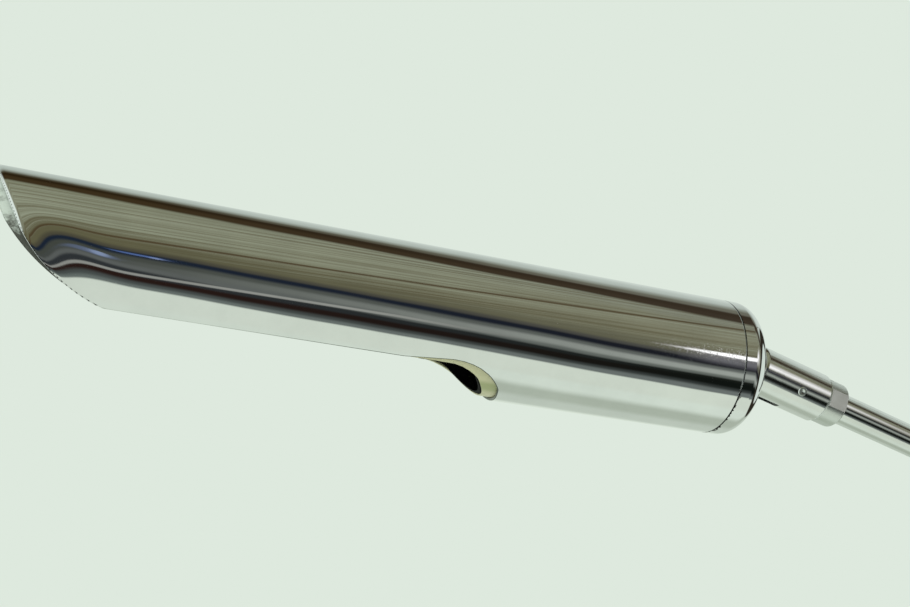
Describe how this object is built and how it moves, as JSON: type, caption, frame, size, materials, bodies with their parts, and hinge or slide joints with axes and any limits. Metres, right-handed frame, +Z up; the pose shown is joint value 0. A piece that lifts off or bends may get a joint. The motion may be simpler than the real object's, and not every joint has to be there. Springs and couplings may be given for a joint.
{
  "type": "reading lamp head",
  "caption": "Chrome tubular lamp shade with a slash-cut nose and an open underside, on a tilting and swivelling joint at the end of a thin round arm.",
  "frame": {"origin": "centre of the arm's free end, on the arm's axis", "axes": "+Z up; +X along the shade tube's axis from the nose towards the cap, the part's longest extent; +Y across the shade tube, the part's shortest extent and the line of the tilt pivot"},
  "size_m": [0.4397, 0.05, 0.0679],
  "materials": {
    "chrome_shade": "mirror-polished chrome plate",
    "chrome_joint": "polished chrome plate on turned brass",
    "sleeve_enamel": "cream enamel, satin",
    "baffle_black": "matt black heat-proof paint",
    "holder_black": "moulded phenolic",
    "ceramic_white": "unglazed ceramic",
    "brass": "turned brass",
    "zinc_steel": "zinc-plated steel",
    "fibre_washer": "red vulcanised fibre",
    "lead_brown": "insulated lead",
    "lead_blue": "insulated lead",
    "cable_white": "two-core cable sheath",
    "bush_white": "nylon edge guard",
    "bulb_cap_metal": "nickel-plated bulb cap",
    "bulb_black_glass": "black glass insulator",
    "bulb_glass": "clear bulb glass"
  },
  "bodies": {
    "arm": {"swivel_spigot": "brass", "swivel_washer": "zinc_steel", "collar_nut": "chrome_joint", "arm_tube": "chrome_joint", "arm_bush": "bush_white", "arm_cable": "cable_white"},
    "swivel": {"swivel_barrel": "chrome_joint", "pivot_pin": "chrome_joint", "friction_washers": "fibre_washer", "stop_screw": "chrome_joint"},
    "head": {"shade_tube": "chrome_shade", "inner_sleeve": "sleeve_enamel", "glare_baffle": "baffle_black", "end_cap": "chrome_shade", "tilt_lug": "chrome_joint", "lug_washer": "zinc_steel", "lug_nut": "zinc_steel", "holder_insert": "brass", "holder_base": "holder_black", "holder_body": "holder_black", "contact_carrier": "ceramic_white", "screw_shell": "brass", "centre_contact": "brass", "terminal_screws": "zinc_steel", "live_lead": "lead_brown", "neutral_lead": "lead_blue", "bulb_cap": "bulb_cap_metal", "bulb_insulator": "bulb_black_glass", "bulb_contact": "zinc_steel", "bulb_glass": "bulb_glass", "bulb_stem": "bulb_glass", "bulb_filament": "zinc_steel"}
  },
  "joints": [
    {"name": "head_swivel", "type": "hinge", "parent": "arm", "child": "swivel", "pos_m": [-0.15564, 0, 0.03708], "axis": [0.9728, 0, -0.2317], "range_deg": [-160, 160]},
    {"name": "head_tilt", "type": "hinge", "parent": "swivel", "child": "head", "pos_m": [-0.15564, 0, 0.03708], "axis": [0, -1, 0], "range_deg": [-13.4, 76.6]}
  ]
}
